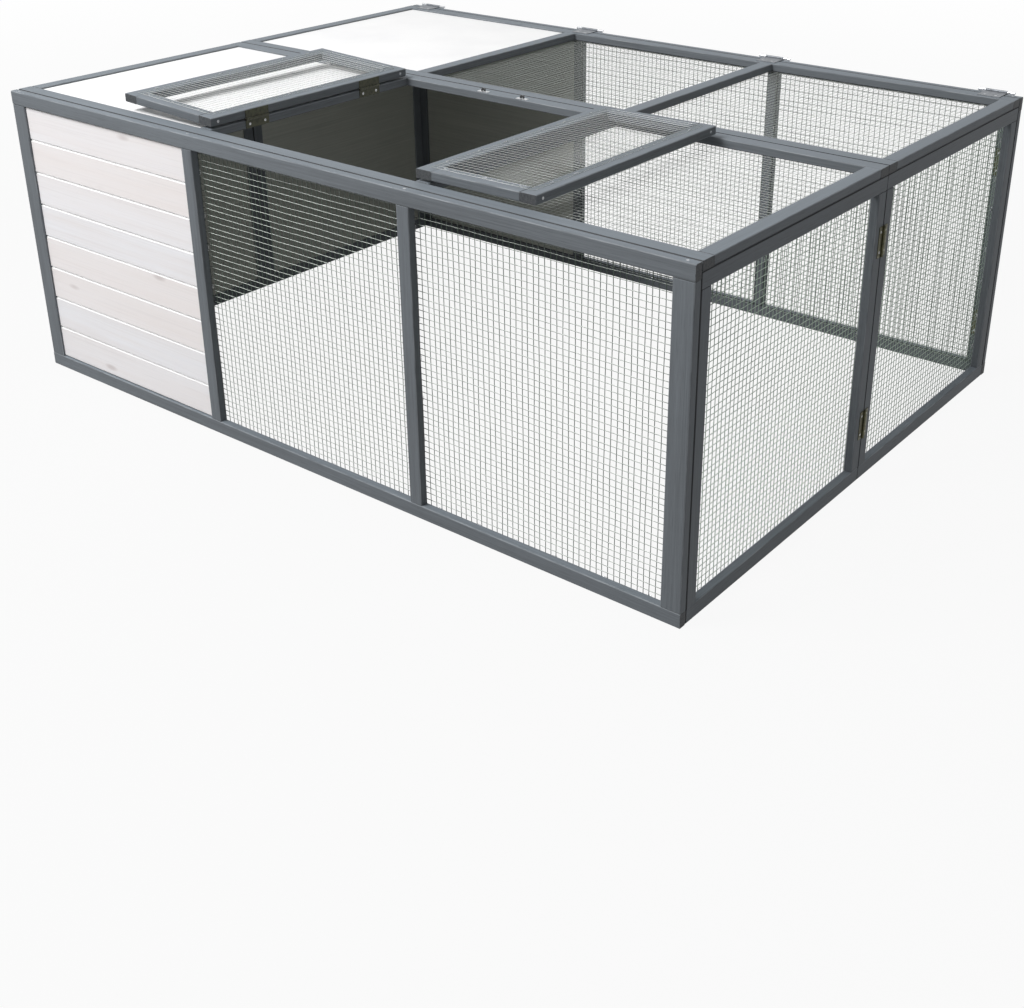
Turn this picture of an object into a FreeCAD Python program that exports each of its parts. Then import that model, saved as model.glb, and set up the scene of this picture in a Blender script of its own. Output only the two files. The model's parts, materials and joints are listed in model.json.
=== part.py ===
import FreeCAD, Part
import math
import os

# Folding rabbit cage, set up, with both roof doors laid open on the roof.
# Millimetres. X runs along the front, Y from front to back, Z up from the ground.

# Size of the set-up cage over its four walls
wall_length = 1800.0
wall_span = 1325.0
wall_height = 665.0

# Long walls: timber sizes, and the middle posts' centres as shares of the length
stick_thickness = 18.0
wall_rail_width = 30.0
corner_post_width = 42.0
middle_post_width = 30.0
middle_post_shares = (0.332, 0.66)
stick_ease = 1.6

# End walls: two halves each, under the roof and between the long walls
end_rail_width = 30.0
end_post_width = 30.0

# Gaps: under the roof and between two folding halves, and beside the long walls
seat_gap = 0.9
wall_gap = 1.8

# Roof halves
roof_thickness = 18.0
roof_rail_width = 34.0
roof_bar_width = 32.0
roof_sheet_thickness = 5.0
roof_sheet_recess = 4.0

# Roof doors
door_thickness = 18.0
door_stick_width = 37.0
door_seam = 3.0
left_door_tilt_deg = 2.4
right_door_tilt_deg = 0.5

# Shelter boards
board_count = 8
board_thickness = 10.0
board_recess = 5.0
board_groove = 3.0

# Wire mesh, drawn as one wire in several so that the panel stays light
wire_thickness = 1.6
wire_width = 2.4
mesh_gap_size = 100.0
wall_mesh_lap = 4.0
roof_mesh_lap = 12.0
door_mesh_lap = 18.0

# Brass butt hinges: pin, knuckle and leaf
hinge_length = 62.0
hinge_leaf_reach = 16.0
hinge_leaf_thickness = 1.2
hinge_knuckle_radius = 2.6
hinge_pin_radius = 1.3
hinge_pin_clearance = 0.05
hinge_knuckle_gap = 0.4
hinge_face_offset = 3.0
centre_knuckle_share = 0.4
hinge_sides = 12
end_hinge_height_shares = (0.2, 0.8)
roof_middle_hinge_shares = (-0.36, 0.0, 0.36)

# Door hinges: butt hinges with both leaves in the seam and the knuckle above it
door_hinge_face_offset = 1.6
door_hinge_rise = 2.2
door_hinge_reach = 19.0
door_hinge_end_distance = 120.0

# Roof hinges on the back top edge: a narrow strap on the roof, a wide leaf on the wall
strap_length = 50.0
strap_thickness = 1.5
strap_seat = 26.0
wall_leaf_length = 84.0
wall_leaf_reach = 22.0
strap_knuckle_radius = 2.8
strap_pin_radius = 1.6
strap_face_offset = 3.0
strap_clearance = 0.4
roof_hinge_end_distance = 62.0
roof_hinge_count = 4

# Sliding bolts on the doors and their keepers on the roof's middle rail
bolt_seam_distance = 55.0
bolt_plate_width = 28.0
bolt_plate_thickness = 1.0
bolt_plate_margin = 2.0
bolt_radius = 2.2
bolt_throw = 16.0
bolt_knob_radius = 1.8
bolt_knob_height = 6.0
loop_wall = 2.4
loop_clearance = 0.3
loop_length = 5.0
keeper_margin = 2.0
keeper_length = 12.0

# How far a cutting tool runs past the face that it cuts
overrun = 1.0

# Places worked out from the sizes
end_x = wall_length / 2
strap_stand_out = strap_face_offset + strap_knuckle_radius
front_y = -(wall_span + strap_stand_out) / 2
front_inner_y = front_y + stick_thickness
back_y = front_y + wall_span
back_inner_y = back_y - stick_thickness
middle_y = (front_inner_y + back_inner_y) / 2
roof_top = wall_height + strap_clearance
roof_bottom = roof_top - roof_thickness
end_top = roof_bottom - seat_gap
end_inner_x = end_x - stick_thickness
post_centres = [wall_length * share - end_x for share in middle_post_shares]


def vector(values):
    return FreeCAD.Vector(*values)


def point(axis, along, u, v):
    """A point whose coordinate on the named axis is along, and u and v on the next two axes in turn."""
    values = [0, 0, 0]
    values[axis] = along
    values[(axis + 1) % 3] = u
    values[(axis + 2) % 3] = v
    return vector(values)


def prism(axis, start, end, outline):
    """A closed outline of (u, v) pairs, swept along an axis from start to end."""
    points = [point(axis, start, u, v) for u, v in outline]
    face = Part.Face(Part.makePolygon(points + points[:1]))
    return face.extrude(point(axis, end - start, 0, 0))


def stick(axis, low, high):
    """A timber stick along an axis, between two corners, with its four long edges eased."""
    u0, u1 = low[(axis + 1) % 3], high[(axis + 1) % 3]
    v0, v1 = low[(axis + 2) % 3], high[(axis + 2) % 3]
    c = stick_ease
    outline = [
        (u0 + c, v0), (u1 - c, v0), (u1, v0 + c), (u1, v1 - c),
        (u1 - c, v1), (u0 + c, v1), (u0, v1 - c), (u0, v0 + c),
    ]
    return prism(axis, low[axis], high[axis], outline)


def box(low, high):
    size = [high[i] - low[i] for i in range(3)]
    return Part.makeBox(*size, vector(low))


def rectangle(axis, along, u0, u1, v0, v1):
    corners = [point(axis, along, u, v) for u, v in ((u0, v0), (u1, v0), (u1, v1), (u0, v1))]
    return Part.makePolygon(corners + corners[:1])


def gap_edges(low, high):
    """The two edges of each gap between the wires that cross an opening."""
    count = max(1, round((high - low) / mesh_gap_size))
    pitch = (high - low) / count
    edges = []
    for i in range(count):
        start = low + i * pitch + (wire_width / 2 if i > 0 else 0)
        end = low + (i + 1) * pitch - (wire_width / 2 if i < count - 1 else 0)
        edges.append((start, end))
    return edges


def mesh_panel(axis, face, inward, opening, lap):
    """A wire mesh over an opening ((u0, u1), (v0, v1)), lapped on the frame's face, as one holed plate."""
    (u0, u1), (v0, v1) = opening
    wires = [rectangle(axis, face, u0 - lap, u1 + lap, v0 - lap, v1 + lap)]
    for a0, a1 in gap_edges(u0, u1):
        for b0, b1 in gap_edges(v0, v1):
            wires.append(rectangle(axis, face, a0, a1, b0, b1))
    holed = Part.makeFace(wires, "Part::FaceMakerBullseye")
    return holed.extrude(point(axis, inward * wire_thickness, 0, 0))


def boards(axis, across, ends, outer, inward, low_z, high_z):
    """Level boards one above another, with a V groove at each joint on the outer side.

    The boards run along the axis between the two ends, and their thickness runs along across.
    """
    height = (high_z - low_z) / board_count
    shown = outer + inward * board_recess
    groove = shown + inward * board_groove
    back = shown + inward * board_thickness
    planks = []
    for i in range(board_count):
        z0 = low_z + i * height
        z1 = z0 + height
        section = [
            (back, z0), (groove, z0), (shown, z0 + board_groove),
            (shown, z1 - board_groove), (groove, z1), (back, z1),
        ]
        if (axis + 1) % 3 == across:
            outline = section
        else:
            outline = [(z, depth) for depth, z in section]
        planks.append(prism(axis, ends[0], ends[1], outline))
    return planks


def placed(shape, origin, leaf_direction, face_normal):
    """A copy of a shape moved so that its X runs along leaf_direction and its Y along face_normal."""
    x = vector(leaf_direction)
    y = vector(face_normal)
    z = x.cross(y)
    frame = FreeCAD.Matrix(
        x.x, y.x, z.x, origin[0],
        x.y, y.y, z.y, origin[1],
        x.z, y.z, z.z, origin[2],
        0, 0, 0, 1,
    )
    copy = shape.copy()
    copy.Placement = FreeCAD.Placement(frame)
    return copy


def barrel(radius, start, end):
    """A bar on the Z axis with a few flat sides, which keeps the many hinges light."""
    step = 2 * math.pi / hinge_sides
    angles = [step * (i + 1 / 2) for i in range(hinge_sides)]
    return prism(2, start, end, [(radius * math.cos(a), radius * math.sin(a)) for a in angles])


def hinge_leaf(plate_length, knuckles, radius, reach, offset, thickness):
    """A leaf with its knuckles on the Z axis, its plate towards +X and its seat at Y = -offset."""
    clear = radius + hinge_knuckle_gap
    leaf = box((clear, -offset, -plate_length / 2), (reach, thickness - offset, plate_length / 2))
    for start, end in knuckles:
        tab = box((0, -offset, start), (clear, thickness - offset, end))
        leaf = leaf.fuse([tab, barrel(radius, start, end)])
    return leaf


def centre_leaf(plate_length, knuckle_length, radius, pin_radius, reach, offset, thickness):
    """The leaf with the middle knuckle, whose bore turns clear of the pin's corners."""
    half = (knuckle_length - hinge_knuckle_gap) / 2
    leaf = hinge_leaf(plate_length, [(-half, half)], radius, reach, offset, thickness)
    bore_radius = (pin_radius + hinge_pin_clearance) / math.cos(math.pi / hinge_sides)
    return leaf.cut(barrel(bore_radius, -half - overrun, half + overrun)).removeSplitter()


def outer_leaf(plate_length, knuckle_length, radius, pin_radius, reach, offset, thickness):
    """The leaf with the two end knuckles, which hold the pin between them."""
    half = (knuckle_length + hinge_knuckle_gap) / 2
    end = plate_length / 2
    leaf = hinge_leaf(plate_length, [(-end, -half), (half, end)], radius, reach, offset, thickness)
    return leaf.fuse(barrel(pin_radius, -end, end)).removeSplitter()


def butt_leaves(reach, offset):
    """The two leaves of a brass butt hinge: the outer one with the pin, and the centre one."""
    lengths = (hinge_length, hinge_length * centre_knuckle_share)
    radii = (hinge_knuckle_radius, hinge_pin_radius)
    plate = (reach, offset, hinge_leaf_thickness)
    return outer_leaf(*lengths, *radii, *plate), centre_leaf(*lengths, *radii, *plate)


def save(name, solids):
    shape = solids[0] if len(solids) == 1 else Part.makeCompound(solids)
    shape.exportStep("parts/" + name + ".step")


def long_wall_bays():
    """The openings of a long wall along X: shelter, middle and right."""
    half = middle_post_width / 2
    edges = [corner_post_width - end_x]
    for centre in post_centres:
        edges += [centre - half, centre + half]
    edges.append(end_x - corner_post_width)
    return list(zip(edges[0::2], edges[1::2]))


def long_wall(name, outer, inner):
    """The front or back wall: rails over the whole length, posts between them, boards and mesh."""
    low_y, high_y = min(outer, inner), max(outer, inner)
    inward = 1 if inner > outer else -1
    low_z, high_z = wall_rail_width, wall_height - wall_rail_width
    bays = long_wall_bays()

    rails = [stick(0, (-end_x, low_y, z), (end_x, high_y, z + wall_rail_width)) for z in (0, high_z)]
    save(name + "_wall_rails", rails)

    post_edges = [-end_x] + [x for bay in bays for x in bay] + [end_x]
    posts = []
    for x0, x1 in zip(post_edges[0::2], post_edges[1::2]):
        posts.append(stick(2, (x0, low_y, low_z), (x1, high_y, high_z)))
    save(name + "_wall_posts", posts)

    save(name + "_wall_boards", boards(0, 1, bays[0], outer, inward, low_z, high_z))
    for label, bay in (("middle", bays[1]), ("right", bays[2])):
        opening = ((low_z, high_z), bay)
        save(name + "_mesh_" + label, [mesh_panel(1, inner, inward, opening, wall_mesh_lap)])


def end_hinge_heights():
    return [end_top * share for share in end_hinge_height_shares]


def end_half(side, label, start_y, stop_y, boarded):
    """Half of an end wall, on the right (side 1) or the left (side -1)."""
    low_x, high_x = sorted((side * end_inner_x, side * end_x))
    low_z, high_z = end_rail_width, end_top - end_rail_width
    name = ("right_" if side > 0 else "left_") + label
    opening_y = (start_y + end_post_width, stop_y - end_post_width)

    rails = [stick(1, (low_x, start_y, z), (high_x, stop_y, z + end_rail_width)) for z in (0, high_z)]
    save(name + "_rails", rails)

    posts = []
    for y in (start_y, opening_y[1]):
        posts.append(stick(2, (low_x, y, low_z), (high_x, y + end_post_width, high_z)))
    save(name + "_posts", posts)

    if boarded:
        save(name + "_boards", boards(1, 0, opening_y, side * end_x, -side, low_z, high_z))
    else:
        opening = (opening_y, (low_z, high_z))
        save(name + "_mesh", [mesh_panel(0, side * end_inner_x, -side, opening, wall_mesh_lap)])


def end_walls():
    """Both end walls, each in two halves that meet at the middle."""
    front_half = (front_inner_y + wall_gap, middle_y - seat_gap / 2)
    back_half = (middle_y + seat_gap / 2, back_inner_y - wall_gap)
    for side in (1, -1):
        end_half(side, "front", *front_half, boarded=side < 0)
        end_half(side, "back", *back_half, boarded=side < 0)


def corner_hinges():
    """Hinges in the four inner corners, so that each end half folds against its long wall."""
    outer, centre = butt_leaves(hinge_leaf_reach, hinge_face_offset)
    for label, face_y, away in (("front", front_inner_y, 1), ("back", back_inner_y, -1)):
        axis_y = face_y + away * hinge_face_offset
        wall_leaves = []
        for side in (1, -1):
            axis_x = side * (end_inner_x - hinge_face_offset)
            end_leaves = []
            for z in end_hinge_heights():
                origin = (axis_x, axis_y, z)
                wall_leaves.append(placed(outer, origin, (-side, 0, 0), (0, away, 0)))
                end_leaves.append(placed(centre, origin, (0, away, 0), (-side, 0, 0)))
            save(("right_" if side > 0 else "left_") + label + "_corner_leaves", end_leaves)
        save(label + "_wall_corner_leaves", wall_leaves)


def middle_hinges():
    """Hinges on the outer faces of the end walls, where the two halves meet."""
    outer, centre = butt_leaves(hinge_leaf_reach, hinge_face_offset)
    for side, name in ((1, "right"), (-1, "left")):
        front_leaves = []
        back_leaves = []
        for z in end_hinge_heights():
            origin = (side * (end_x + hinge_face_offset), middle_y, z)
            front_leaves.append(placed(outer, origin, (0, -1, 0), (side, 0, 0)))
            back_leaves.append(placed(centre, origin, (0, 1, 0), (side, 0, 0)))
        save(name + "_front_middle_leaves", front_leaves)
        save(name + "_back_middle_leaves", back_leaves)


def roof_bays():
    """The three openings of a roof half along X."""
    half = roof_bar_width / 2
    edges = [roof_bar_width - end_x]
    for centre in post_centres:
        edges += [centre - half, centre + half]
    edges.append(end_x - roof_bar_width)
    return list(zip(edges[0::2], edges[1::2]))


def roof_half_depth(label):
    """The front and back edges of a roof half."""
    if label == "front":
        return front_inner_y + wall_gap, middle_y - seat_gap / 2
    return middle_y + seat_gap / 2, back_inner_y - wall_gap


def roof_half(label, mesh_bays):
    """A roof half: two long rails, four bars between them, a sheet over the shelter and mesh."""
    start_y, stop_y = roof_half_depth(label)
    inner_y = (start_y + roof_rail_width, stop_y - roof_rail_width)
    bays = roof_bays()

    rails = []
    for y in (start_y, inner_y[1]):
        rails.append(stick(0, (-end_x, y, roof_bottom), (end_x, y + roof_rail_width, roof_top)))
    save("roof_" + label + "_rails", rails)

    bar_edges = [-end_x] + [x for bay in bays for x in bay] + [end_x]
    bars = []
    for x0, x1 in zip(bar_edges[0::2], bar_edges[1::2]):
        bars.append(stick(1, (x0, inner_y[0], roof_bottom), (x1, inner_y[1], roof_top)))
    save("roof_" + label + "_bars", bars)

    sheet_top = roof_top - roof_sheet_recess
    sheet_low = (bays[0][0], inner_y[0], sheet_top - roof_sheet_thickness)
    save("roof_" + label + "_sheet", [box(sheet_low, (bays[0][1], inner_y[1], sheet_top))])

    for bay_label, index in mesh_bays:
        opening = (bays[index], inner_y)
        panel = mesh_panel(2, roof_bottom, -1, opening, roof_mesh_lap)
        save("roof_" + label + "_mesh_" + bay_label, [panel])


def roof_middle_hinges():
    """Hinges under the seam between the roof halves, so that they fold underside to underside."""
    outer, centre = butt_leaves(hinge_leaf_reach, hinge_face_offset)
    front_leaves = []
    back_leaves = []
    for share in roof_middle_hinge_shares:
        origin = (wall_length * share, middle_y, roof_bottom - hinge_face_offset)
        front_leaves.append(placed(centre, origin, (0, -1, 0), (0, 0, -1)))
        back_leaves.append(placed(outer, origin, (0, 1, 0), (0, 0, -1)))
    save("roof_front_middle_leaves", front_leaves)
    save("roof_back_middle_leaves", back_leaves)


def roof_wall_hinges():
    """Strap hinges that carry the roof on the back wall's outer top edge."""
    strap_reach = strap_face_offset + stick_thickness + wall_gap + strap_seat
    sizes = (strap_length, strap_knuckle_radius, strap_pin_radius)
    strap = centre_leaf(strap_length, *sizes, strap_reach, strap_face_offset, strap_thickness)
    leaf = outer_leaf(wall_leaf_length, *sizes, wall_leaf_reach, strap_face_offset, strap_thickness)
    first = roof_hinge_end_distance - end_x
    spacing = 2 * -first / (roof_hinge_count - 1)
    straps = []
    leaves = []
    for i in range(roof_hinge_count):
        origin = (first + i * spacing, back_y + strap_face_offset, roof_top + strap_face_offset)
        straps.append(placed(strap, origin, (0, -1, 0), (0, 0, 1)))
        leaves.append(placed(leaf, origin, (0, 0, -1), (0, 1, 0)))
    save("roof_hinge_straps", straps)
    save("roof_hinge_wall_leaves", leaves)


def door_range():
    """The two edges of the doors along Y, inside the front roof half."""
    start_y, stop_y = roof_half_depth("front")
    return start_y + roof_rail_width + door_seam, stop_y - roof_rail_width - door_seam


def bolt_loop(x, y0, y1, base_z, centre_z):
    """A bridge-shaped loop that stands on a plate and guides the bolt along Y."""
    inner = bolt_radius + loop_clearance
    outer = inner + loop_wall

    def leg_and_arch(radius):
        left = vector((x - radius, y0, base_z))
        left_top = vector((x - radius, y0, centre_z))
        crown = vector((x, y0, centre_z + radius))
        right_top = vector((x + radius, y0, centre_z))
        right = vector((x + radius, y0, base_z))
        edges = [
            Part.LineSegment(left, left_top).toShape(),
            Part.Arc(left_top, crown, right_top).toShape(),
            Part.LineSegment(right_top, right).toShape(),
            Part.LineSegment(right, left).toShape(),
        ]
        return Part.Face(Part.Wire(edges)).extrude(vector((0, y1 - y0, 0)))

    return leg_and_arch(outer).cut(leg_and_arch(inner))


def door_bolt(x, door_far_y):
    """The bolt's plate with two loops, and the sliding bolt itself, drawn back."""
    stop = loop_length + loop_clearance + bolt_knob_radius
    far_y = door_far_y - bolt_plate_margin
    plate_y = (far_y - bolt_throw - 2 * stop, far_y)
    half = bolt_plate_width / 2
    plate_top = roof_top + bolt_plate_thickness
    centre_z = plate_top + bolt_radius + loop_clearance
    case = box((x - half, plate_y[0], roof_top), (x + half, plate_y[1], plate_top))
    for y in (plate_y[0], plate_y[1] - loop_length):
        case = case.fuse(bolt_loop(x, y, y + loop_length, plate_top, centre_z))

    rod_start = vector((x, plate_y[0], centre_z))
    rod = Part.makeCylinder(bolt_radius, plate_y[1] - plate_y[0], rod_start, vector((0, 1, 0)))
    knob_start = vector((x, plate_y[0] + stop, centre_z))
    knob = Part.makeCylinder(bolt_knob_radius, bolt_knob_height, knob_start)
    return case.removeSplitter(), rod.fuse(knob).removeSplitter()


def bolt_keeper(x, rail_y):
    """The keeper on the roof's middle rail that the bolt runs into."""
    half = bolt_plate_width / 2
    plate_top = roof_top + bolt_plate_thickness
    y0 = rail_y + keeper_margin
    y1 = y0 + keeper_length
    plate = box((x - half, y0, roof_top), (x + half, y1, plate_top))
    loop_y = (y0 + y1 - loop_length) / 2
    loop = bolt_loop(x, loop_y, loop_y + loop_length, plate_top, plate_top + bolt_radius + loop_clearance)
    return plate.fuse(loop).removeSplitter()


def roof_doors():
    """Both roof doors, made closed and then turned open about their hinges."""
    bay = roof_bays()[1]
    seam_x = (bay[0] + bay[1]) / 2
    near_y, far_y = door_range()
    door_bottom = roof_top - door_thickness
    outer, centre = butt_leaves(door_hinge_reach, door_hinge_face_offset)
    frame_leaves = []
    keepers = []
    doors = (
        (-1, "left", bay[0], left_door_tilt_deg),
        (1, "right", bay[1], right_door_tilt_deg),
    )
    for side, name, edge_x, tilt_deg in doors:
        axis_x = edge_x - side * door_hinge_face_offset
        axis_z = roof_top + door_hinge_rise
        hinge_x = axis_x - side * door_hinge_face_offset
        free_x = seam_x + side * door_seam / 2
        turn_deg = side * (180 - tilt_deg)

        def opened(solids):
            for solid in solids:
                solid.rotate(vector((axis_x, 0, axis_z)), vector((0, 1, 0)), turn_deg)
            return solids

        low_x, high_x = sorted((hinge_x, free_x))
        inner_x = (low_x + door_stick_width, high_x - door_stick_width)
        inner_y = (near_y + door_stick_width, far_y - door_stick_width)
        stiles = [
            stick(1, (x, near_y, door_bottom), (x + door_stick_width, far_y, roof_top))
            for x in (low_x, inner_x[1])
        ]
        save(name + "_door_stiles", opened(stiles))
        rails = [
            stick(0, (inner_x[0], y, door_bottom), (inner_x[1], y + door_stick_width, roof_top))
            for y in (near_y, inner_y[1])
        ]
        save(name + "_door_rails", opened(rails))
        panel = mesh_panel(2, door_bottom, -1, (inner_x, inner_y), door_mesh_lap)
        save(name + "_door_mesh", opened([panel]))

        door_leaves = []
        for y in (near_y + door_hinge_end_distance, far_y - door_hinge_end_distance):
            origin = (axis_x, y, axis_z)
            frame_leaves.append(placed(outer, origin, (0, 0, -1), (-side, 0, 0)))
            door_leaves.append(placed(centre, origin, (0, 0, -1), (side, 0, 0)))
        save(name + "_door_hinge_leaves", opened(door_leaves))

        bolt_x = seam_x + side * bolt_seam_distance
        case, bolt = door_bolt(bolt_x, far_y)
        save(name + "_bolt_case", opened([case]))
        save(name + "_bolt", opened([bolt]))
        keepers.append(bolt_keeper(bolt_x, far_y + door_seam))
    save("door_hinge_frame_leaves", frame_leaves)
    save("bolt_keepers", keepers)


os.makedirs("parts", exist_ok=True)
long_wall("front", front_y, front_inner_y)
long_wall("back", back_y, back_inner_y)
end_walls()
corner_hinges()
middle_hinges()
roof_half("front", [("right", 2)])
roof_half("back", [("middle", 1), ("right", 2)])
roof_middle_hinges()
roof_wall_hinges()
roof_doors()
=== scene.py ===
from collections import defaultdict
import json
import math
import random

import bmesh
import bpy
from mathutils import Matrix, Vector


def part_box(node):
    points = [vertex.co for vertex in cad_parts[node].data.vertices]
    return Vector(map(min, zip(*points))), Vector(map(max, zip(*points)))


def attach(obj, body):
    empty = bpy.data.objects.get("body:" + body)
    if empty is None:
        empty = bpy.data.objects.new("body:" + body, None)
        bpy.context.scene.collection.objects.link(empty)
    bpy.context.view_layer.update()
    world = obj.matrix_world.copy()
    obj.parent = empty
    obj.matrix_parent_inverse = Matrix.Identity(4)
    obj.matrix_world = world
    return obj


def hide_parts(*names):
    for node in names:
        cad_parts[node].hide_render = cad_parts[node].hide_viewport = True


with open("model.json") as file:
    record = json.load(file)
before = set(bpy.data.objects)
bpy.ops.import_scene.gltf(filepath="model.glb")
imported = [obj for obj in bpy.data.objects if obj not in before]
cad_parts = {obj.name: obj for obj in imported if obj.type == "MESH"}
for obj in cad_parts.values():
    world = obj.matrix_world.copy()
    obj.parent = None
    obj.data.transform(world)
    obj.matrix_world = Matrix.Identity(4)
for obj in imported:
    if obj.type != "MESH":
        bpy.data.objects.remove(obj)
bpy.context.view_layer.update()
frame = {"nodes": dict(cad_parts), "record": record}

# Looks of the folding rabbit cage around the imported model, in metres and in the part's own frame.

nodes = frame["nodes"]
bodies = frame["record"]["behaviour"]["bodies"]
body_of = {node: body for body, members in bodies.items() for node in members}
random_seed = 7
draw = random.Random(random_seed)

X, Y, Z = Vector((1, 0, 0)), Vector((0, 1, 0)), Vector((0, 0, 1))


def grey(level, warmth=0.0):
    """A linear grey, a little warmer or colder."""
    return (level * (1 + warmth), level, level * (1 - warmth), 1)


# Wire netting: real pitch and wire, where the solids show one wire in several
wire_pitch = 0.0127
wall_wire_radius = 0.0007
roof_wire_radius = 0.00034
door_wire_radius = 0.00028
wire_layer_share = 0.8
wire_sides = 5
wire_step = 0.032
wire_sway = 0.0005
wire_waves = (1.5, 4)
wire_stray = 0.0007
net_bulge = 0.001

# Staples along the netting's edges, with the heights and the length of the crown's bends as shares
staple_spacing = 0.09
staple_half_crown = 0.0045
staple_rise = 0.0014
staple_sink = 0.002
staple_radius = 0.0005
staple_sides = 4
staple_inset = 0.002
staple_shoulder_share = 0.3
staple_crown_share = 0.55
staple_flat_share = 0.85

# Screws, with their places as distances from an end or as shares of a leaf's length
screw_radius = 0.0027
small_screw_radius = 0.0026
plate_screw_radius = 0.0024
plate_screw_inset = 0.0045
door_screw_distance = 0.0185
strap_screw_distance = 0.011
leaf_screw_shares = (0.17, 0.83)
wall_leaf_screw_shares = (0.14, 0.5, 0.86)
strap_screw_shares = (0.25, 0.75)

# A screw's head in radii: arm and half width of its recess, and its rows as outline, scale and height
recess_arm = 0.52
recess_half_width = 0.13
recess_turns = 4
head_rows = (
    ("ring", 1.0, -0.05), ("ring", 1.0, 0.03), ("ring", 0.85, 0.075),
    ("recess", 1.0, 0.085), ("recess", 0.75, -0.25),
)

# Limits for faces that count as one flat side, and for points that count as one
same_direction = 0.99
same_level = 0.0002
same_point = 1e-6

# Softened edges of the timber, and painted shade along the narrow seams between the frames
bevel_width = 0.0009
bevel_segments = 2
bevel_angle_deg = 25
seam_shade_reach = 0.0019
seam_shade_fade_reach = 1.3 * seam_shade_reach

# Patterns: scales along and across the grain, and bands of noise over which a mix runs from 0 to 1
middle_band = (0.3, 0.7)
timber_grain_scales = (5, 330)
timber_grain_band = (0.32, 0.7)
timber_pore_scales = (22, 1500)
timber_pore_band = (0.56, 0.72)
timber_tone_scales = (1.7, 14)
# Pale patches on the timber's eased edges: partly worn glaze, partly painted highlight
timber_wear_highlight_noise_scales = (14, 90)
timber_wear_highlight_noise_band = (0.36, 0.6)
timber_ring_scale = 260
timber_ring_band = (0.35, 0.65)
board_grain_scales = (3.2, 260)
board_cloud_scales = (2.2, 42)
board_knot_scales = (5.0, 15)
board_cloud_band = (0.35, 0.72)
board_pink_band = (0.45, 0.7)
board_grain_band = (0.5, 0.74)
bare_grain_band = (0.34, 0.7)
knot_reach = (0.05, 0.13)
sheet_cloud_scale = 6
sheet_fine_scale = 420
sheet_cloud_band = (0.4, 0.75)
metal_fine_ratio = 6
metal_band = (0.35, 0.68)
wire_cloud_scale = 85
wire_cloud_band = (0.4, 0.7)

# How far a face is turned to a direction, over which a mix runs from 0 to 1
edge_turn = (0.985, 0.8)
end_turn = (0.8, 0.95)
# Upward faces of the timber take a painted highlight over this range
timber_painted_top_light_turn = (0.75, 0.97)
groove_turn = (0.97, 0.8)
outside_turn = (0.1, 0.3)
# Wires take a painted highlight on their upper side and painted shade on their sides to left and right over
# these ranges
wire_painted_light_turn = (0.1, 0.6)
wire_painted_shade_turn = (0.25, 0.6)

# Colours of the timber, the boards, the sheet and the keepers
timber_glaze = (grey(0.116, -0.085), grey(0.166, -0.09))
timber_light = grey(0.205, -0.1)
timber_pore = grey(0.055, -0.06)
# Painted highlight: lighter, bluer colours for the timber's upward faces, standing in for light from above
timber_painted_top_light = (grey(0.19, -0.13), grey(0.25, -0.13))
# Pale grey for the eased edges: partly worn glaze, partly painted highlight
timber_rubbed_and_highlight = grey(0.3, -0.06)
# Painted shade: near-black for the eased edges along the seams between frames
timber_painted_seam_shade = grey(0.02)
timber_end = (grey(0.028), grey(0.07))
wash = ((0.765, 0.765, 0.79, 1), (0.735, 0.71, 0.715, 1))
wash_pink = (0.775, 0.715, 0.69, 1)
wash_grain = (0.60, 0.57, 0.57, 1)
wash_knot = (0.48, 0.43, 0.42, 1)
wash_groove = (0.73, 0.73, 0.73, 1)
bare_timber = ((0.41, 0.42, 0.378, 1), (0.335, 0.344, 0.31, 1))
sheet_whites = ((0.84, 0.84, 0.84, 1), (0.8, 0.8, 0.805, 1))
# The keepers' bright plate colour, and near-black painted shade for their loops
keeper_plate_and_loop_shade = (grey(0.72, -0.02), grey(0.06, -0.02))

# Metals: light and dark colour, size of the spots, roughness and metallic share
brass_look = ((0.105, 0.1, 0.046, 1), (0.042, 0.042, 0.021, 1), 0.006, 0.42, 0.35)
dark_brass_look = ((0.052, 0.054, 0.027, 1), (0.02, 0.021, 0.011, 1), 0.006, 0.46, 0.3)
zinc_look = ((0.72, 0.73, 0.75, 1), (0.54, 0.55, 0.57, 1), 0.01, 0.26, 0.7)
dull_zinc_look = ((0.235, 0.25, 0.27, 1), (0.165, 0.175, 0.19, 1), 0.01, 0.5, 0.5)

# Wires: colour of the flanks, painted highlight for the upper side, painted shade for the sides to the left
# and right, metallic share
# The nets are lit and shaded copies of one wire: painted darkest on the front and back walls, lighter on the
# right end, lightest on the roof and the doors
wall_wire_look = ((0.062, 0.086, 0.067, 1), (0.68, 0.72, 0.68, 1), (0.09, 0.12, 0.097, 1), 0.05)
end_wire_look = ((0.21, 0.275, 0.225, 1), (0.53, 0.62, 0.54, 1), (0.32, 0.4, 0.335, 1), 0.05)
roof_wire_look = ((0.45, 0.475, 0.455, 1), (0.6, 0.625, 0.605, 1), (0.25, 0.29, 0.26, 1), 0.25)
door_wire_look = ((0.66, 0.68, 0.665, 1), (0.88, 0.89, 0.88, 1), (0.3, 0.34, 0.31, 1), 0.25)

# Boards: how many are in a wall, and how far the pattern of each is moved along its grain
board_count = 8
board_shift = 7.0

# Heights above a keeper's plate over which its colour turns to the painted shade of its loops
loop_shade_start = 0.0002
loop_shade_full = 0.001

# Camera, fitted to the cage's corners in the photograph, which is 1024 by 1008 pixels
camera_eye = Vector((1.9525, -2.3762, 1.4097))
camera_yaw_deg = 37.794
camera_pitch_deg = 25.19
camera_lens_mm = 49.395
camera_sensor_mm = 36.0
camera_shift = (-0.04, -0.12)

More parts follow.
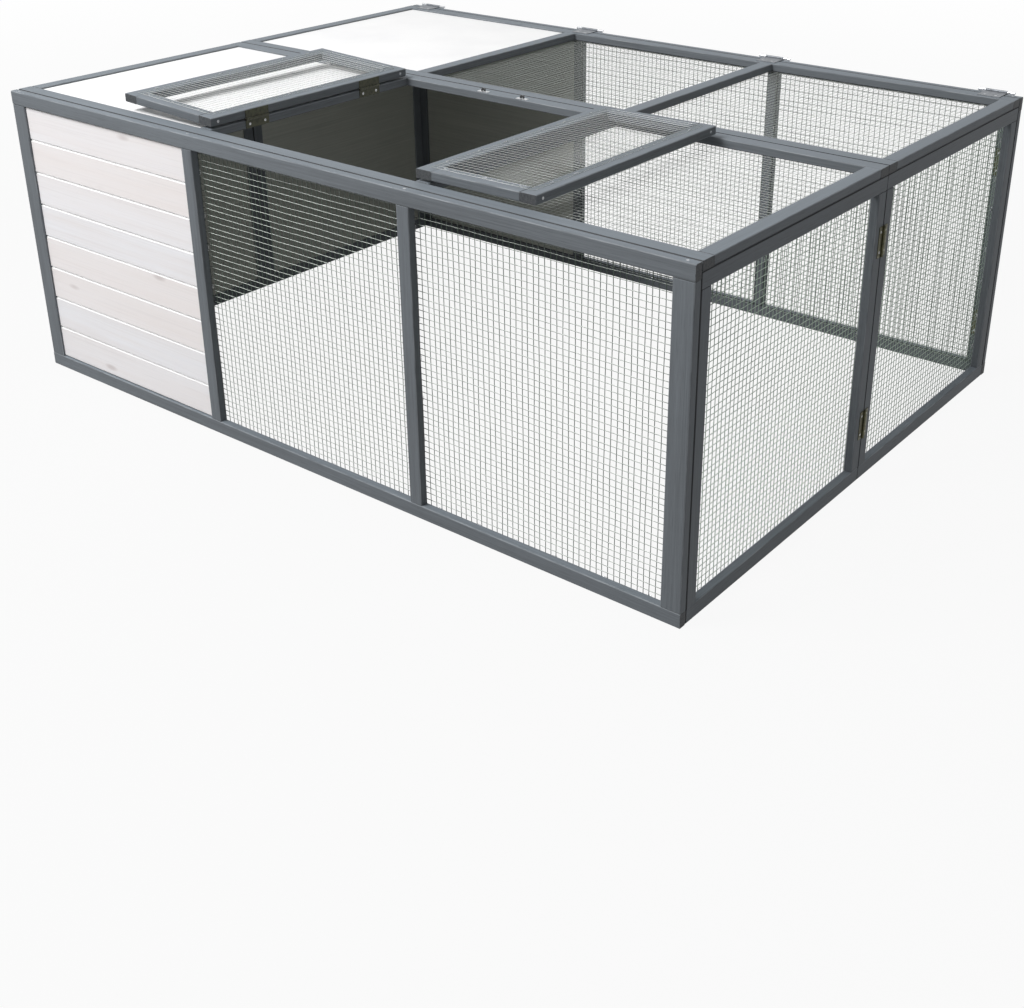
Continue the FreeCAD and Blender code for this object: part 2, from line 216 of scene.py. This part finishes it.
# Studio: a pale floor, a sky that is brighter towards the front left, and two soft lamps
floor_half_size = 30.0
floor_colour = grey(0.3)
floor_roughness = 0.9
floor_white_share = 0.93
floor_fade = (2.0, 6.0)
white = grey(1.0)
sky_strengths = (0.32, 0.5)
sky_reach = (-0.3, 1.0)
sky_bright_side = Vector((-0.5, -0.5, 0.7)).normalized()
lamp_target = Vector((0, 0, 0.3))
lamps = (("key", (-1.6, -3.2, 4.2), 2.2, 265), ("top", (0.2, 1.2, 4.6), 3.2, 12))

# Sockets of the colour mix node: factor, first colour, second colour, and the result
mix_factor, mix_first, mix_second, mix_result = 0, 6, 7, 2


class Shader:
    """A new material, with short calls that add nodes and hand back their output sockets."""

    def __init__(self, name):
        self.material = bpy.data.materials.new(name)
        self.material.use_nodes = True
        self.tree = self.material.node_tree
        self.surface = self.tree.nodes["Principled BSDF"]
        self.place = self.add("TexCoord", output="Object")
        self.normal = self.add("TexCoord", output="Normal")

    def add(self, kind, inputs=(), output=0, **settings):
        node = self.tree.nodes.new("ShaderNode" + kind)
        for key, value in settings.items():
            setattr(node, key, value)
        for key, value in dict(inputs).items():
            self.feed(node.inputs[key], value)
        return node.outputs[output]

    def feed(self, socket, value):
        if isinstance(value, bpy.types.NodeSocket):
            self.tree.links.new(value, socket)
        else:
            socket.default_value = value

    def split(self, vector):
        """A vector's three parts."""
        node = self.tree.nodes.new("ShaderNodeSeparateXYZ")
        self.feed(node.inputs[0], vector)
        return node.outputs

    def scaled(self, scale):
        """The object's place, scaled alike in all directions."""
        return self.add("Mapping", {"Vector": self.place, "Scale": [scale] * 3})

    def stretched(self, axis, scales, place=None):
        """A place, by default the object's, scaled so that a pattern is drawn out along an axis."""
        along, across = scales
        scale = [across] * 3
        scale[axis] = along
        return self.add("Mapping", {"Vector": self.place if place is None else place, "Scale": scale})

    def noise(self, vector, detail=3.0, roughness=0.55, distortion=0.0):
        inputs = {
            "Vector": vector, "Scale": 1.0, "Detail": detail,
            "Roughness": roughness, "Distortion": distortion,
        }
        return self.add("TexNoise", inputs)

    def maths(self, operation, a, b=0.0):
        return self.add("Math", {0: a, 1: b}, operation=operation)

    def ranged(self, value, start, stop, low=0.0, high=1.0):
        inputs = {"Value": value, "From Min": start, "From Max": stop, "To Min": low, "To Max": high}
        return self.add("MapRange", inputs)

    def mix(self, factor, first, second):
        inputs = {mix_factor: factor, mix_first: first, mix_second: second}
        return self.add("Mix", inputs, mix_result, data_type="RGBA", blend_type="MIX")

    def turned(self, direction):
        """How far the surface faces a direction, from -1 to 1."""
        inputs = {0: self.normal, 1: direction}
        return self.add("VectorMath", inputs, "Value", operation="DOT_PRODUCT")

    def bump(self, height, distance, strength):
        inputs = {"Height": height, "Distance": distance, "Strength": strength}
        self.feed(self.surface.inputs["Normal"], self.add("Bump", inputs))

    def finish(self, **inputs):
        """Feeds the surface shader; an input's name has underscores for spaces."""
        for key, value in inputs.items():
            self.feed(self.surface.inputs[key.replace("_", " ")], value)
        return self.material


def seams():
    """The narrow gaps between the frames, as (axis, middle of the gap, half its width)."""
    found = []
    for axis, first, second in (
        (1, "front_wall_rails", "roof_front_rails"), (1, "roof_front_rails", "roof_back_rails"),
        (1, "roof_back_rails", "back_wall_rails"), (2, "right_front_rails", "roof_front_rails"),
    ):
        start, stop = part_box(first)[1][axis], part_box(second)[0][axis]
        found.append((axis, (start + stop) / 2, (stop - start) / 2))
    return found


def timber(axis):
    """Timber in a satin dark grey glaze, with its grain along an axis, eased edges that are partly rubbed and
    partly painted with highlight, painted highlight on its upward faces, and painted shade along the seams.
    """
    s = Shader("grey_timber_" + "xyz"[axis])
    grain = s.noise(s.stretched(axis, timber_grain_scales), detail=5, roughness=0.62, distortion=0.6)
    pores = s.noise(s.stretched(axis, timber_pore_scales), detail=2)
    tone = s.noise(s.stretched(axis, timber_tone_scales), detail=2)

    colour = s.mix(s.ranged(grain, *timber_grain_band), *timber_glaze)
    colour = s.mix(s.ranged(tone, *middle_band, high=0.4), colour, timber_light)
    colour = s.mix(s.ranged(pores, *timber_pore_band, high=0.45), colour, timber_pore)
    # Painted highlight: the upward faces turn lighter and bluer, as if lit from above
    pale = s.mix(s.ranged(grain, *timber_grain_band), *timber_painted_top_light)
    colour = s.mix(s.ranged(s.turned(Z), *timber_painted_top_light_turn, high=0.62), colour, pale)

    facing = s.split(s.add("VectorMath", {0: s.normal}, operation="ABSOLUTE"))
    widest = s.maths("MAXIMUM", s.maths("MAXIMUM", facing[0], facing[1]), facing[2])
    eased = s.ranged(widest, *edge_turn)
    # The eased edges turn pale in patches: partly worn glaze, partly painted highlight
    wear_highlight_noise = s.noise(s.stretched(axis, timber_wear_highlight_noise_scales), detail=3)
    rubbed_and_highlight = s.ranged(wear_highlight_noise, *timber_wear_highlight_noise_band, high=0.8)
    colour = s.mix(s.maths("MULTIPLY", eased, rubbed_and_highlight), colour, timber_rubbed_and_highlight)

    # Painted shade: eased edges next to the gaps between the frames turn near-black, standing in for the
    # shade inside the seams
    at = s.split(s.place)
    seam_shade_mask = 0.0
    for across, middle, half in seams():
        away = s.maths("ABSOLUTE", s.maths("SUBTRACT", at[across], middle))
        shade = s.ranged(away, half + seam_shade_reach, half + seam_shade_fade_reach, low=1, high=0)
        seam_shade_mask = s.maths("MAXIMUM", seam_shade_mask, shade)
    colour = s.mix(s.maths("MULTIPLY", eased, seam_shade_mask), colour, timber_painted_seam_shade)

    end = s.ranged(facing[axis], *end_turn, high=0.7)
    rings = s.noise(s.scaled(timber_ring_scale), detail=4)
    colour = s.mix(end, colour, s.mix(s.ranged(rings, *timber_ring_band), *timber_end))

    half_pores = s.maths("MULTIPLY", pores, 0.5)
    s.bump(s.maths("ADD", grain, half_pores), distance=0.0005, strength=0.35)
    rough = s.ranged(grain, *middle_band, low=0.46, high=0.6)
    return s.finish(Base_Color=colour, Roughness=rough, Specular_IOR_Level=0.12)


def washed_boards(name, axis, outward, node):
    """White-washed boards with the timber's grain showing through, and bare grey-brown timber inside."""
    s = Shader(name)
    low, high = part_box(node)
    board = s.maths("FLOOR", s.ranged(s.split(s.place)[2], low.z, high.z, high=board_count))
    own = s.add("TexWhiteNoise", {"W": board}, noise_dimensions="1D")
    moved = s.add("CombineXYZ", {axis: s.maths("MULTIPLY", own, board_shift)})
    shifted = s.add("VectorMath", {0: s.place, 1: moved}, operation="ADD")

    grain_place = s.stretched(axis, board_grain_scales, shifted)
    grain = s.noise(grain_place, detail=5, roughness=0.6, distortion=0.8)
    cloud = s.noise(s.stretched(axis, board_cloud_scales, shifted), detail=3)
    knot_place = s.stretched(axis, board_knot_scales, shifted)
    cells = s.add("TexVoronoi", {"Vector": knot_place, "Scale": 1.0}, "Distance")
    knot = s.ranged(cells, *knot_reach, low=0.6, high=0)

    colour = s.mix(s.ranged(cloud, *board_cloud_band), *wash)
    colour = s.mix(s.ranged(own, *board_pink_band, high=0.5), colour, wash_pink)
    colour = s.mix(s.ranged(grain, *board_grain_band, high=0.3), colour, wash_grain)
    colour = s.mix(knot, colour, wash_knot)
    colour = s.mix(s.ranged(s.turned(outward), *groove_turn), colour, wash_groove)
    bare = s.mix(s.ranged(grain, *bare_grain_band), *bare_timber)
    colour = s.mix(s.ranged(s.turned(outward), *outside_turn), bare, colour)
    s.bump(grain, distance=0.0006, strength=0.3)
    return s.finish(Base_Color=colour, Roughness=s.ranged(grain, *middle_band, low=0.55, high=0.72))


def sheet_white():
    """The shelter's smooth white roof sheet, with faint handling marks."""
    s = Shader("white_roof_sheet")
    cloud = s.noise(s.scaled(sheet_cloud_scale), detail=4)
    fine = s.noise(s.scaled(sheet_fine_scale), detail=2)
    colour = s.mix(s.ranged(cloud, *sheet_cloud_band), *sheet_whites)
    s.bump(fine, distance=0.0002, strength=0.2)
    rough = s.ranged(cloud, *middle_band, low=0.45, high=0.6)
    return s.finish(Base_Color=colour, Roughness=rough, Specular_IOR_Level=0.2)


def metal(name, light, dark, spot, roughness, metallic):
    """A metal finish, mottled between two colours with spots of a given size."""
    s = Shader(name)
    cloud = s.noise(s.scaled(1 / spot), detail=4, roughness=0.6)
    fine = s.noise(s.scaled(metal_fine_ratio / spot), detail=2)
    s.bump(fine, distance=0.0001, strength=0.25)
    rough = s.ranged(cloud, *middle_band, low=roughness - 0.07, high=roughness + 0.09)
    colour = s.mix(s.ranged(cloud, *metal_band), light, dark)
    return s.finish(Base_Color=colour, Roughness=rough, Metallic=metallic)


def keeper_metal(node):
    """Bright plates, with painted shade that makes the loops standing on them nearly black."""
    s = Shader("keeper_steel")
    plate_top = min(side(faces, Z, nearest=True)[0].z for faces in solids(node))
    # Painted shade: above the plate, the loops turn near-black
    loop = s.ranged(s.split(s.place)[2], plate_top + loop_shade_start, plate_top + loop_shade_full)
    rough = s.ranged(loop, 0, 1, low=0.28, high=0.42)
    metallic = s.ranged(loop, 0, 1, low=0.8, high=0.4)
    return s.finish(Base_Color=s.mix(loop, *keeper_plate_and_loop_shade), Roughness=rough, Metallic=metallic)


def galvanised(name, flank, top, across, metallic):
    """Mottled galvanised wire, with a tone for its flanks, a painted highlight on its upper side and painted
    shade on its sides to left and right.
    """
    s = Shader(name)
    cloud = s.noise(s.scaled(wire_cloud_scale), detail=4, roughness=0.6)
    # Painted highlight: the upper side of each wire turns lighter, as if lit from above
    colour = s.mix(s.ranged(s.turned(Z), *wire_painted_light_turn), flank, top)
    # Painted shade: wires whose sides face left and right turn darker
    side_shade_mask = s.maths("ABSOLUTE", s.turned(X))
    colour = s.mix(s.ranged(side_shade_mask, *wire_painted_shade_turn), colour, across)
    colour = s.mix(s.ranged(cloud, *wire_cloud_band, high=0.3), colour, flank)
    rough = s.ranged(cloud, *middle_band, low=0.38, high=0.54)
    return s.finish(Base_Color=colour, Roughness=rough, Metallic=metallic, Specular_IOR_Level=0.15)


def tube(points, flank, radius, sides):
    """Vertices and faces of a closed tube along points that all lie square to a flank's direction."""
    verts, faces = [], []
    for i, point in enumerate(points):
        before, after = points[max(i - 1, 0)], points[min(i + 1, len(points) - 1)]
        third = (after - before).normalized().cross(flank)
        for k in range(sides):
            angle = 2 * math.pi * k / sides
            verts.append(point + radius * (math.cos(angle) * flank + math.sin(angle) * third))
    for i in range(len(points) - 1):
        for k in range(sides):
            a, b = i * sides + k, i * sides + (k + 1) % sides
            faces.append((a, a + sides, b + sides, b))
    last = (len(points) - 1) * sides
    faces.append(tuple(range(sides)))
    faces.append(tuple(range(last + sides - 1, last - 1, -1)))
    return verts, faces


def piece(name, parts, material, body, smooth=True):
    """One mesh object made of several (vertices, faces) lists, which rides on a body."""
    verts, faces = [], []
    for part_verts, part_faces in parts:
        base = len(verts)
        verts += part_verts
        faces += [tuple(base + i for i in face) for face in part_faces]
    mesh = bpy.data.meshes.new(name)
    mesh.from_pydata(verts, [], faces)
    mesh.polygons.foreach_set("use_smooth", [smooth] * len(faces))
    mesh.materials.append(material)
    made = bpy.data.objects.new(name, mesh)
    bpy.context.scene.collection.objects.link(made)
    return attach(made, body)


def net_frame(node):
    """A net's own axes and box: along it, across it, and out of it on the side away from the timber."""
    mesh = nodes[node].data
    normal = max(mesh.polygons, key=lambda face: face.area).normal.copy()
    rails = next(n for n in bodies[body_of[node]] if n.endswith("rails"))
    out = sum(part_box(node), Vector()) - sum(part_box(rails), Vector())
    if normal.dot(out) < 0:
        normal = -normal
    along = X if abs(normal.y) > max(abs(normal.x), abs(normal.z)) else Y
    axes = (along, normal.cross(along), normal)
    spans = []
    for axis in axes:
        reach = [axis.dot(v.co) for v in mesh.vertices]
        spans.append((min(reach), max(reach)))
    return axes, spans


def wires(axes, spans, run, level, radius):
    """The net's wires that run along axis 0 or 1, in a layer at a level along the normal."""
    cross = 1 - run
    start, stop = spans[run]
    low, high = spans[cross][0] + radius, spans[cross][1] - radius
    count = round((high - low) / wire_pitch)
    steps = max(2, round((stop - start) / wire_step))
    parts = []
    for i in range(count + 1):
        stray = draw.uniform(-wire_stray, wire_stray) if 0 < i < count else 0
        middle = low + (high - low) * i / count + stray
        phase, waves = draw.uniform(0, 2 * math.pi), draw.uniform(*wire_waves)
        points = []
        for j in range(steps + 1):
            share = j / steps
            sway = wire_sway * math.sin(phase + 2 * math.pi * waves * share)
            bulge = net_bulge * math.sin(math.pi * share) * math.sin(math.pi * i / count)
            at = {run: start + (stop - start) * share, cross: middle + sway, 2: level + bulge}
            points.append(sum((axes[k] * at[k] for k in range(3)), Vector()))
        parts.append(tube(points, axes[2], radius, wire_sides))
    return parts


def staples(axes, spans):
    """Staples over the netting's edges, each with its crown along the edge."""
    out, top = axes[2], spans[2][1]
    sink = out * staple_sink
    shoulder = out * staple_rise * staple_shoulder_share
    crown = out * staple_rise * staple_crown_share
    parts = []
    for run in (0, 1):
        cross = 1 - run
        start, stop = spans[run]
        count = max(2, round((stop - start) / staple_spacing))
        lean = axes[run] * staple_half_crown
        flat = lean * staple_flat_share
        for edge, inward in ((spans[cross][0], 1), (spans[cross][1], -1)):
            for i in range(count):
                middle = start + (stop - start) * (i + 0.5) / count + draw.uniform(-1, 1) * wire_pitch
                base = axes[run] * middle + axes[cross] * (edge + inward * staple_inset) + out * top
                points = [
                    base - lean - sink, base - lean + shoulder, base - flat + crown,
                    base + flat + crown, base + lean + shoulder, base + lean - sink,
                ]
                parts.append(tube(points, axes[cross], staple_radius, staple_sides))
    return parts


def nets(wall_wire, end_wire, roof_wire, door_wire, staple):
    """Fine netting and its staples in the place of each coarse net of the model."""
    for node in sorted(n for n in nodes if "mesh" in n):
        axes, spans = net_frame(node)
        level = sum(spans[2]) / 2
        if node.startswith("roof"):
            wire, radius = roof_wire, roof_wire_radius
        elif "door" in node:
            wire, radius = door_wire, door_wire_radius
        else:
            wire, radius = end_wire if node.startswith("right") else wall_wire, wall_wire_radius
        gap = wire_layer_share * radius
        parts = wires(axes, spans, 0, level - gap, radius) + wires(axes, spans, 1, level + gap, radius)
        net = piece(node + "_wires", parts, wire, body_of[node])
        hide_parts(node)
        piece(node + "_staples", staples(axes, spans), staple, body_of[node])


def solids(node):
    """The flat faces of each separate solid of a node, as lists of (normal, area, corners)."""
    mesh = bmesh.new()
    mesh.from_mesh(nodes[node].data)
    bmesh.ops.remove_doubles(mesh, verts=mesh.verts, dist=same_point)
    mesh.normal_update()
    left = dict.fromkeys(mesh.faces)
    found = []
    while left:
        queue = [next(iter(left))]
        del left[queue[0]]
        faces = []
        while queue:
            face = queue.pop()
            faces.append((face.normal.copy(), face.calc_area(), [v.co.copy() for v in face.verts]))
            for other in (linked for edge in face.edges for linked in edge.link_faces):
                if other in left:
                    del left[other]
                    queue.append(other)
        found.append(faces)
    mesh.free()
    return sorted(found, key=lambda faces: tuple(min(tuple(c) for f in faces for c in f[2])))


def side(faces, direction, nearest=False):
    """Corner points of a solid's flat side that faces a direction: the outermost one, or the innermost."""
    facing = [f for f in faces if f[0].dot(direction) > same_direction]
    levels = [direction.dot(f[2][0]) for f in facing]
    wanted = min(levels) if nearest else max(levels)
    return [c for f, level in zip(facing, levels) if abs(level - wanted) < same_level for c in f[2]]


def facing_area(faces, direction):
    """The area of a solid's faces that face a direction."""
    return sum(f[1] for f in faces if f[0].dot(direction) > same_direction)


def leaf_spots(faces, shares):
    """Screw places on a hinge leaf's outer face, at shares of its length, with the face's normal."""
    areas = defaultdict(float)
    for normal, area, _ in faces:
        areas[tuple(round(v, 2) for v in normal)] += area
    seat = Vector(max(areas, key=areas.get)).normalized()
    corners = side(faces, -seat, nearest=True)
    low = Vector(min(c[i] for c in corners) for i in range(3))
    high = Vector(max(c[i] for c in corners) for i in range(3))
    length = max(range(3), key=lambda i: high[i] - low[i])
    middle = (low + high) / 2
    spots = []
    for share in shares:
        spot = middle.copy()
        spot[length] = low[length] + (high[length] - low[length]) * share
        spots.append((spot, -seat))
    return spots


def screw(spot, out, radius):
    """A countersunk screw head with a cross recess, standing a little proud of the surface."""
    first = out.orthogonal().normalized()
    second = out.cross(first)
    spin = draw.uniform(0, math.pi)
    arm, half = recess_arm, recess_half_width
    recess = []
    for turn in range(recess_turns):
        angle = 2 * math.pi * turn / recess_turns
        c, s = math.cos(angle), math.sin(angle)
        recess += [(x * c - y * s, x * s + y * c) for x, y in ((arm, -half), (arm, half), (half, half))]
    ring = [(math.cos(math.atan2(y, x)), math.sin(math.atan2(y, x))) for x, y in recess]
    outlines = {"ring": ring, "recess": recess}
    count = len(ring)
    verts, faces = [], []
    for outline, scale, height in head_rows:
        for x, y in outlines[outline]:
            a = scale * (x * math.cos(spin) - y * math.sin(spin))
            b = scale * (x * math.sin(spin) + y * math.cos(spin))
            verts.append(spot + radius * (a * first + b * second + height * out))
    last = (len(head_rows) - 1) * count
    for base in range(0, last, count):
        for k in range(count):
            a, b = base + k, base + (k + 1) % count
            faces.append((a, b, b + count, a + count))
    faces.append(tuple(range(last, last + count)))
    faces.append(tuple(reversed(range(count))))
    return verts, faces


def frame_screws():
    """Screws through the top rails into the posts, and through the doors' stiles into their rails."""
    found = defaultdict(list)
    for wall in ("front_wall", "back_wall"):
        low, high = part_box(wall + "_rails")
        for faces in solids(wall + "_posts"):
            xs = [c.x for f in faces for c in f[2]]
            spot = Vector(((min(xs) + max(xs)) / 2, (low.y + high.y) / 2, high.z))
            found[wall].append((spot, Z))
    for door in ("left_door", "right_door"):
        stiles = sorted(solids(door + "_stiles"), key=lambda faces: faces[0][2][0].x)
        for faces, out in ((stiles[0], -X), (stiles[-1], X)):
            corners = side(faces, out)
            middle = sum(corners, Vector()) / len(corners)
            ys = [c.y for c in corners]
            for y in (min(ys) + door_screw_distance, max(ys) - door_screw_distance):
                found[door].append((Vector((middle.x, y, middle.z)), out))
    return found


def hinge_screws():
    """Two screws in each brass leaf and each roof strap, and three in each zinc leaf on the back wall."""
    found = defaultdict(list)
    for node in sorted(n for n in nodes if n.endswith("_leaves") and n != "roof_hinge_wall_leaves"):
        for faces in solids(node):
            found[body_of[node]] += leaf_spots(faces, leaf_screw_shares)
    for faces in solids("roof_hinge_wall_leaves"):
        found["back_wall"] += leaf_spots(faces, wall_leaf_screw_shares)
    for faces in solids("roof_hinge_straps"):
        corners = side(faces, Z, nearest=True)
        xs, ys, top = [c.x for c in corners], [c.y for c in corners], corners[0].z
        for share in strap_screw_shares:
            spot = Vector((min(xs) + (max(xs) - min(xs)) * share, min(ys) + strap_screw_distance, top))
            found["roof_back"].append((spot, Z))
    return found


def plate_screws():
    """Screws in the corners of the bolts' plates, and two in each keeper."""
    found = defaultdict(list)
    for node in ("left_bolt_case", "right_bolt_case", "bolt_keepers"):
        for faces in solids(node):
            out = max(faces, key=lambda f: f[1])[0]
            seat = max((out, -out), key=lambda way: facing_area(faces, way))
            corners = side(faces, -seat, nearest=True)
            across = seat.cross(Y)
            us, vs = [across.dot(c) for c in corners], [c.y for c in corners]
            middle, half = (min(us) + max(us)) / 2, (max(us) - min(us)) / 2 - plate_screw_inset
            if node == "bolt_keepers":
                rows = [(min(vs) + max(vs)) / 2]
            else:
                rows = [min(vs) + plate_screw_inset, max(vs) - plate_screw_inset]
            level = seat.dot(corners[0])
            for y in rows:
                for u in (middle - half, middle + half):
                    found[body_of[node]].append((across * u + Y * y + seat * level, -seat))
    return found


def fasteners(zinc):
    """All the screws of each body: one piece each for the timber's, the hinges' and the plates'."""
    for label, found, radius in (
        ("timber_screws", frame_screws(), screw_radius),
        ("hinge_screws", hinge_screws(), small_screw_radius),
        ("plate_screws", plate_screws(), plate_screw_radius),
    ):
        for body, spots in sorted(found.items()):
            parts = [screw(spot, out, radius) for spot, out in spots]
            piece(body + "_" + label, parts, zinc, body, smooth=False)


def dress(node, material):
    """Gives a CAD node its finish."""
    mesh = nodes[node].data
    mesh.materials.clear()
    mesh.materials.append(material)


def soften(node):
    """Rounds a node's edges a little."""
    weld = nodes[node].modifiers.new("join", "WELD")
    weld.merge_threshold = same_point
    bevel = nodes[node].modifiers.new("soften", "BEVEL")
    bevel.width = bevel_width
    bevel.segments = bevel_segments
    bevel.limit_method = "ANGLE"
    bevel.angle_limit = math.radians(bevel_angle_deg)


def grain_axis(node):
    """The axis that a timber node's grain follows."""
    if node.endswith("_posts"):
        return 2
    if node.endswith(("_bars", "_stiles")):
        return 1
    across = node.startswith(("right_", "left_")) and "door" not in node
    return 1 if across else 0


def finishes():
    """A finish for each CAD node that stays in sight, and the netting, staples and screws."""
    timbers = [timber(axis) for axis in range(3)]
    brass = metal("dull_brass", *brass_look)
    dark_brass = metal("dark_brass", *dark_brass_look)
    zinc = metal("bright_zinc", *zinc_look)
    dull_zinc = metal("dull_zinc", *dull_zinc_look)
    # Lit and shaded copies of one galvanised wire, one for each kind of net
    wall_wire = galvanised("wall_wire_painted_shade", *wall_wire_look)
    end_wire = galvanised("end_wire_painted_light", *end_wire_look)
    roof_wire = galvanised("roof_wire", *roof_wire_look)
    door_wire = galvanised("bright_wire", *door_wire_look)
    sheet = sheet_white()
    boards = {
        "front_wall_boards": (0, -Y), "back_wall_boards": (0, Y),
        "left_front_boards": (1, -X), "left_back_boards": (1, -X),
    }
    for node in sorted(nodes):
        if node.endswith(("_rails", "_posts", "_bars", "_stiles")):
            dress(node, timbers[grain_axis(node)])
            soften(node)
        elif node in boards:
            dress(node, washed_boards("washed_" + node, *boards[node], node))
        elif node.endswith("_sheet"):
            dress(node, sheet)
        elif node == "roof_hinge_straps":
            dress(node, dull_zinc)
        elif node == "bolt_keepers":
            dress(node, keeper_metal(node))
        elif "roof_hinge" in node or "bolt" in node:
            dress(node, zinc)
        elif "door_hinge" in node:
            dress(node, dark_brass)
        elif node.endswith("_leaves"):
            dress(node, brass)
    nets(wall_wire, end_wire, roof_wire, door_wire, zinc)
    fasteners(zinc)


def place_camera():
    """The photograph's view."""
    data = bpy.data.cameras.new("photo_view")
    data.lens = camera_lens_mm
    data.sensor_width = camera_sensor_mm
    data.shift_x, data.shift_y = camera_shift
    camera = bpy.data.objects.new("photo_view", data)
    bpy.context.scene.collection.objects.link(camera)
    yaw, pitch = math.radians(camera_yaw_deg), math.radians(camera_pitch_deg)
    level = Vector((-math.sin(yaw), math.cos(yaw), 0))
    ahead = level * math.cos(pitch) - Z * math.sin(pitch)
    camera.location = camera_eye
    camera.rotation_euler = ahead.to_track_quat("-Z", "Y").to_euler()
    bpy.context.scene.camera = camera


def seen_directly(tree):
    """A socket that is 1 for what the camera sees, also in gloss and through glass."""
    path = tree.nodes.new("ShaderNodeLightPath")
    total = path.outputs["Is Camera Ray"]
    for name in ("Is Glossy Ray", "Is Transmission Ray"):
        larger = tree.nodes.new("ShaderNodeMath")
        larger.operation = "MAXIMUM"
        tree.links.new(total, larger.inputs[0])
        tree.links.new(path.outputs[name], larger.inputs[1])
        total = larger.outputs[0]
    return total


def place_floor():
    """A pale floor that keeps some of the shadow, and fades to white away from the cage."""
    mesh = bpy.data.meshes.new("floor")
    h = floor_half_size
    mesh.from_pydata([(-h, -h, 0), (h, -h, 0), (h, h, 0), (-h, h, 0)], [], [(0, 1, 2, 3)])
    floor = bpy.data.objects.new("floor", mesh)
    bpy.context.scene.collection.objects.link(floor)

    s = Shader("pale_floor")
    s.finish(Base_Color=floor_colour, Roughness=floor_roughness)
    distance = s.add("VectorMath", {0: s.place}, "Value", operation="LENGTH")
    paleness = s.ranged(distance, *floor_fade, low=floor_white_share)
    share = s.maths("MULTIPLY", paleness, seen_directly(s.tree))
    glow = s.add("Emission", {"Color": white, "Strength": 1.0})
    both = s.add("MixShader", {0: share, 1: s.surface.outputs[0], 2: glow})
    s.tree.links.new(both, s.tree.nodes["Material Output"].inputs["Surface"])
    mesh.materials.append(s.material)


def place_sky():
    """A white sky, brighter towards one side, and at full white to the camera and in gloss."""
    world = bpy.data.worlds.new("studio")
    world.use_nodes = True
    bpy.context.scene.world = world
    tree = world.node_tree
    facing = tree.nodes.new("ShaderNodeVectorMath")
    facing.operation = "DOT_PRODUCT"
    tree.links.new(tree.nodes.new("ShaderNodeTexCoord").outputs["Generated"], facing.inputs[0])
    facing.inputs[1].default_value = sky_bright_side
    lit = tree.nodes.new("ShaderNodeMapRange")
    tree.links.new(facing.outputs["Value"], lit.inputs["Value"])
    lit.inputs["From Min"].default_value, lit.inputs["From Max"].default_value = sky_reach
    lit.inputs["To Min"].default_value, lit.inputs["To Max"].default_value = sky_strengths
    strength = tree.nodes.new("ShaderNodeMapRange")
    tree.links.new(seen_directly(tree), strength.inputs["Value"])
    tree.links.new(lit.outputs[0], strength.inputs["To Min"])
    strength.inputs["To Max"].default_value = 1.0
    tree.nodes["Background"].inputs["Color"].default_value = white
    tree.links.new(strength.outputs[0], tree.nodes["Background"].inputs["Strength"])


def place_lamp(name, place, size, watts):
    """A soft square lamp that looks at the cage."""
    data = bpy.data.lights.new(name, "AREA")
    data.size = size
    data.energy = watts
    lamp = bpy.data.objects.new(name, data)
    lamp.location = place
    lamp.rotation_euler = (lamp_target - lamp.location).to_track_quat("-Z", "Y").to_euler()
    bpy.context.scene.collection.objects.link(lamp)


finishes()
place_camera()
place_floor()
place_sky()
for lamp in lamps:
    place_lamp(*lamp)
bpy.context.scene.view_settings.view_transform = "Standard"
